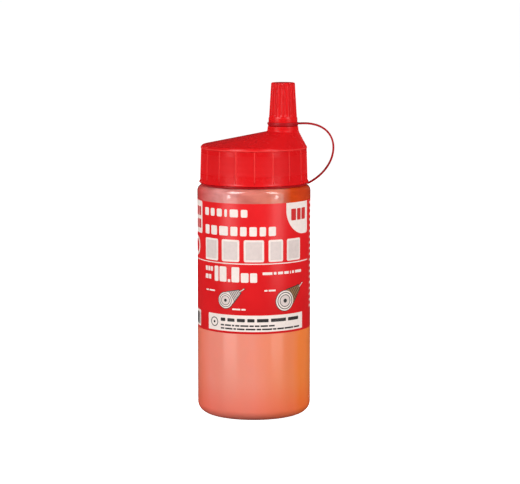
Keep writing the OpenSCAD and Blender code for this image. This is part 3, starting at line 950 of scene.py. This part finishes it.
for v in bm.verts:
    x, y, z = v.co.x / MM - nozzle_x, v.co.y / MM, v.co.z / MM
    radius = math.hypot(x, y)
    if z > grip_z + 0.5 and radius > 6.0:
        turn = math.atan2(y, x)
        aside = turn - flute_step * (math.floor(turn / flute_step) + 0.5)
        below = max(0, flute_end_z - z)
        away = math.hypot(aside / (flute_share * flute_step), below / flute_half)
        fade = min(1, (cap_top_z - z) / 0.5)
        if away < 1:
            cut = flute_depth * (1 - away * away) ** 1.5 * fade / radius
            v.co.x -= x * cut * MM
            v.co.y -= y * cut * MM
finish_piece("nozzle_cap_shell", bm, "nozzle_cap", cap_red, "cap_red", "nozzle_cap")


# Tether: one moulding in softer red polyethylene. The small ring snaps on the cap's spigot, the
# large ring clips inside the closure's foot, and the flat strap that joins them springs out in an
# arch just long enough for the cap to clear the nozzle.
tether_red, *_ = red_plastic(
    "tether_polyethylene", (0.40, 0.006, 0.010), 0.36, stretch=(0.5, 1, 0.5)
)

ring_low, ring_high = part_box("tether_cap_ring")
ring_z0, ring_z1 = ring_low.z / MM, ring_high.z / MM
cap_ring_in_r, cap_ring_low_r, cap_ring_r = 7.66, 8.65, 8.95
flange_z = ring_z0 + 0.74
strap_w, strap_t = 2.4, 1.1
pad = 1.1


def root_pad(bm, x, z):
    """The short square root between a ring and the strap."""
    rooted = 0.6
    add_bar(bm, (pad + rooted, strap_w, strap_t), (x + (pad - rooted) / 2, 0, z), 0.14, 2)


bm = turned([
    (cap_ring_in_r, ring_z0), (cap_ring_low_r, ring_z0), (cap_ring_low_r, flange_z),
    (cap_ring_r, flange_z), (cap_ring_r, ring_z1), (cap_ring_in_r, ring_z1),
    (cap_ring_in_r, ring_z0),
], 128)
round_ring(bm, cap_ring_low_r, ring_z0, 0.12)
round_ring(bm, cap_ring_r, flange_z, 0.1)
round_ring(bm, cap_ring_r, ring_z1, 0.3)
cap_pad_z = ring_z1 - 0.6
root_pad(bm, cap_ring_r, cap_pad_z)
bmesh.ops.translate(bm, vec=(nozzle_x * MM, 0, 0), verts=bm.verts)
finish_piece("tether_small_ring", bm, "nozzle_cap", tether_red, "tether_red", "tether_cap_ring")

clip_low, clip_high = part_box("tether_neck_ring")
clip_z0, clip_z1 = clip_low.z / MM, clip_high.z / MM
neck_ring_r = 30.3
neck_ring_t = 1.2
clip_in, clip_out = skirt_in_r - 0.05, skirt_in_r + 0.58
bm = turned([
    (clip_in, clip_z0), (neck_ring_r, clip_z0), (neck_ring_r, clip_z0 + neck_ring_t),
    (clip_out, clip_z0 + neck_ring_t), (clip_out, clip_z1), (clip_in, clip_z1), (clip_in, clip_z0),
])
round_ring(bm, neck_ring_r, clip_z0, 0.3)
round_ring(bm, neck_ring_r, clip_z0 + neck_ring_t, 0.3)
round_ring(bm, clip_out, clip_z1, 0.15, 2)
neck_pad_z = clip_z0 + neck_ring_t / 2
root_pad(bm, neck_ring_r, neck_pad_z)
finish_piece("tether_large_ring", bm, "closure", tether_red, "tether_red", "tether_neck_ring")

# The strap's middle line is one smooth curve with a handle at each end
strap_low = Vector((neck_ring_r + pad - 0.15, 0, neck_pad_z))
strap_high = Vector((nozzle_x + cap_ring_r + pad - 0.1, 0, cap_pad_z))
low_handle = strap_low + Vector((19.5, 0, 10))
high_handle = strap_high + Vector((24.5, 0, 1.5))
strap_steps = 72


def strap_place(t):
    """The strap's cross-section at t along its curve: a matrix in metres."""
    s = 1 - t
    point = (
        s ** 3 * strap_low + 3 * t * s * s * low_handle
        + 3 * t * t * s * high_handle + t ** 3 * strap_high
    )
    ahead = (
        s * s * (low_handle - strap_low) + 2 * s * t * (high_handle - low_handle)
        + t * t * (strap_high - high_handle)
    ).normalized()
    across = Vector((0, 1, 0))
    up = ahead.cross(across)
    turn = Matrix((across, up, ahead)).transposed().to_4x4()
    return Matrix.Translation(point * MM) @ turn


bm = bmesh.new()
points = [
    bm.verts.new((a * strap_w / 2 * MM, b * strap_t / 2 * MM, 0))
    for a, b in ((-1, -1), (1, -1), (1, 1), (-1, 1))
]
bm.faces.new(points)
bevelled(bm, points, 0.28, 3, "VERTICES")
bmesh.ops.transform(bm, matrix=strap_place(0), verts=bm.verts)
loop = bm.edges[:]
for k in range(1, strap_steps + 1):
    made = bmesh.ops.extrude_edge_only(bm, edges=loop)["geom"]
    verts = [v for v in made if isinstance(v, bmesh.types.BMVert)]
    kept = set(verts)
    step = strap_place(k / strap_steps) @ strap_place((k - 1) / strap_steps).inverted()
    bmesh.ops.transform(bm, matrix=step, verts=verts)
    loop = [e for e in made if isinstance(e, bmesh.types.BMEdge) and kept.issuperset(e.verts)]
bmesh.ops.holes_fill(bm, edges=loop)
bmesh.ops.recalc_face_normals(bm, faces=bm.faces)
strap = finish_piece("tether_strap_band", bm, None, tether_red, "tether_red", "tether_strap")
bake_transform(strap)
